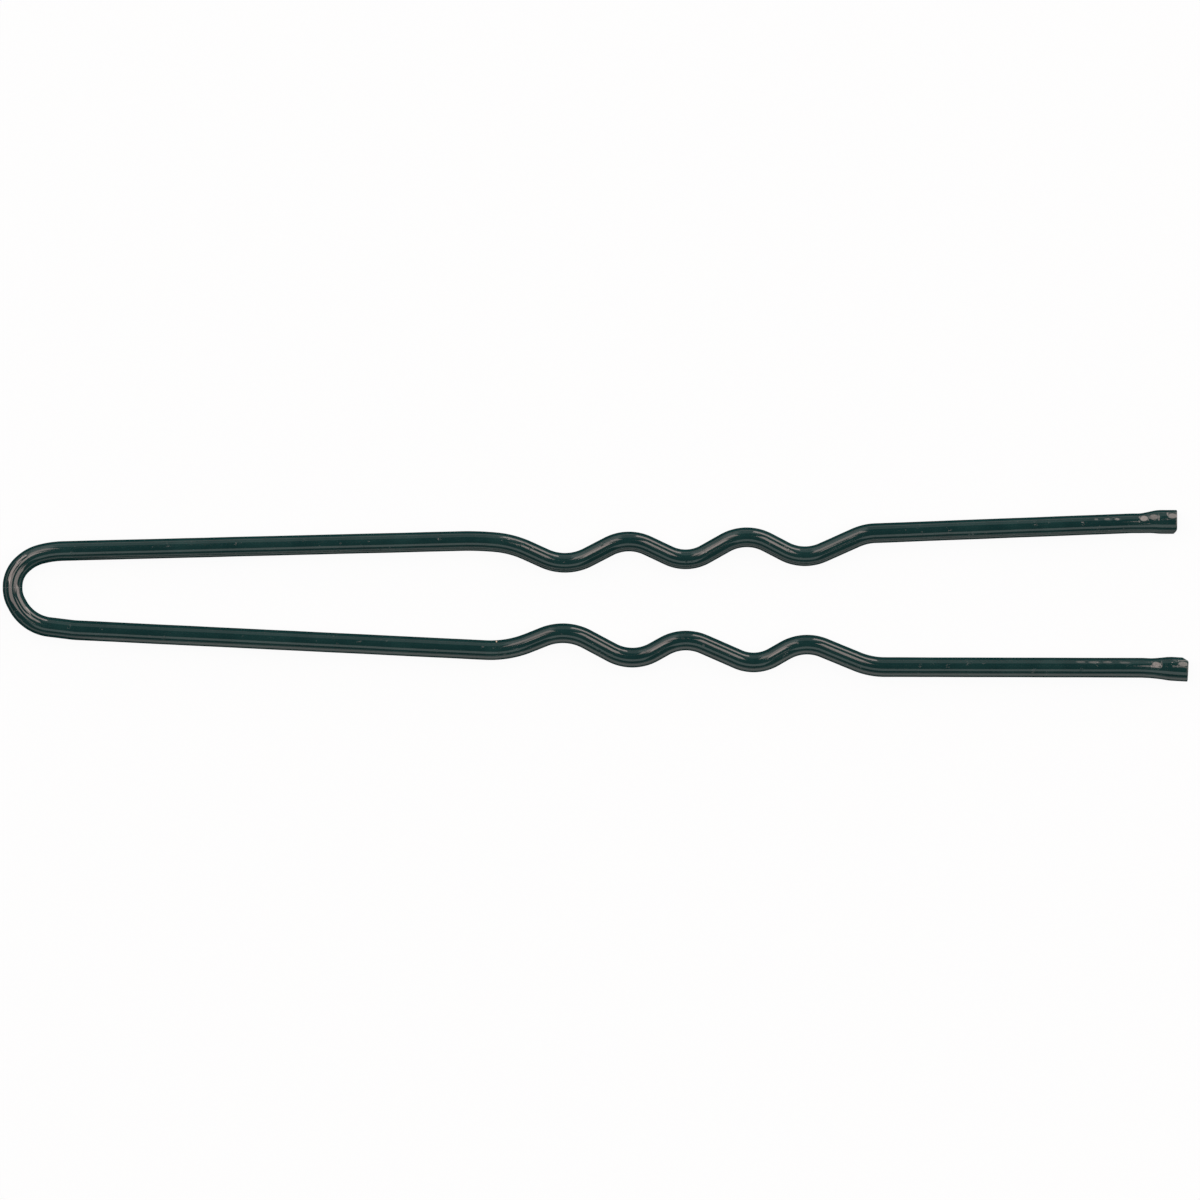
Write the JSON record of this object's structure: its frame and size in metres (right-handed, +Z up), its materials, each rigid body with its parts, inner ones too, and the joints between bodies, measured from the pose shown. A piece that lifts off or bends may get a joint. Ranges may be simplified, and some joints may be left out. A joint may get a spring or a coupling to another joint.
{
  "type": "waved hair pin",
  "caption": "Open U-shaped hair pin of round lacquered spring wire, with a crimped wave in each leg and flared, dipped tips, for holding a twist or bun of hair.",
  "frame": {"origin": "middle of the pin's outline, on the flat surface that it lies on", "axes": "+X along the pin from the bow to the tips, +Y towards the left leg, which is the upper one in the picture, +Z up out of the surface"},
  "size_m": [0.075, 0.0108, 0.0012],
  "materials": {
    "steel": "drawn spring-steel wire, under the lacquer",
    "lacquer": "glossy baked lacquer, very dark bottle green, with fine scratches and specks",
    "tip_coat": "second dip of the same glossy lacquer, thick and slightly dimpled"
  },
  "bodies": {
    "left_bow": {"left_bow_wire": "steel", "left_bow_lacquer": "lacquer"},
    "right_bow": {"right_bow_wire": "steel", "right_bow_lacquer": "lacquer"},
    "left_leg": {"left_leg_wire": "steel", "left_leg_lacquer": "lacquer", "left_tip_coat": "tip_coat"},
    "right_leg": {"right_leg_wire": "steel", "right_leg_lacquer": "lacquer", "right_tip_coat": "tip_coat"}
  },
  "joints": [
    {"name": "left_leg_flex", "type": "hinge", "parent": "left_bow", "child": "left_leg", "pos_m": [-0.0241, 0.00307, 0.00063], "axis": [0, 0, 1], "range_deg": [-3.2, 12], "stiffness_Nm_per_rad": 0.55},
    {"name": "bow_twist", "type": "hinge", "parent": "left_bow", "child": "right_bow", "pos_m": [-0.0369, 0.00053, 0.00063], "axis": [0, -1, 0], "range_deg": [-8, 8], "stiffness_Nm_per_rad": 0.3},
    {"name": "right_leg_flex", "type": "hinge", "parent": "right_bow", "child": "right_leg", "pos_m": [-0.0241, -0.0026, 0.00063], "axis": [0, 0, -1], "range_deg": [-3.2, 12], "stiffness_Nm_per_rad": 0.55}
  ]
}
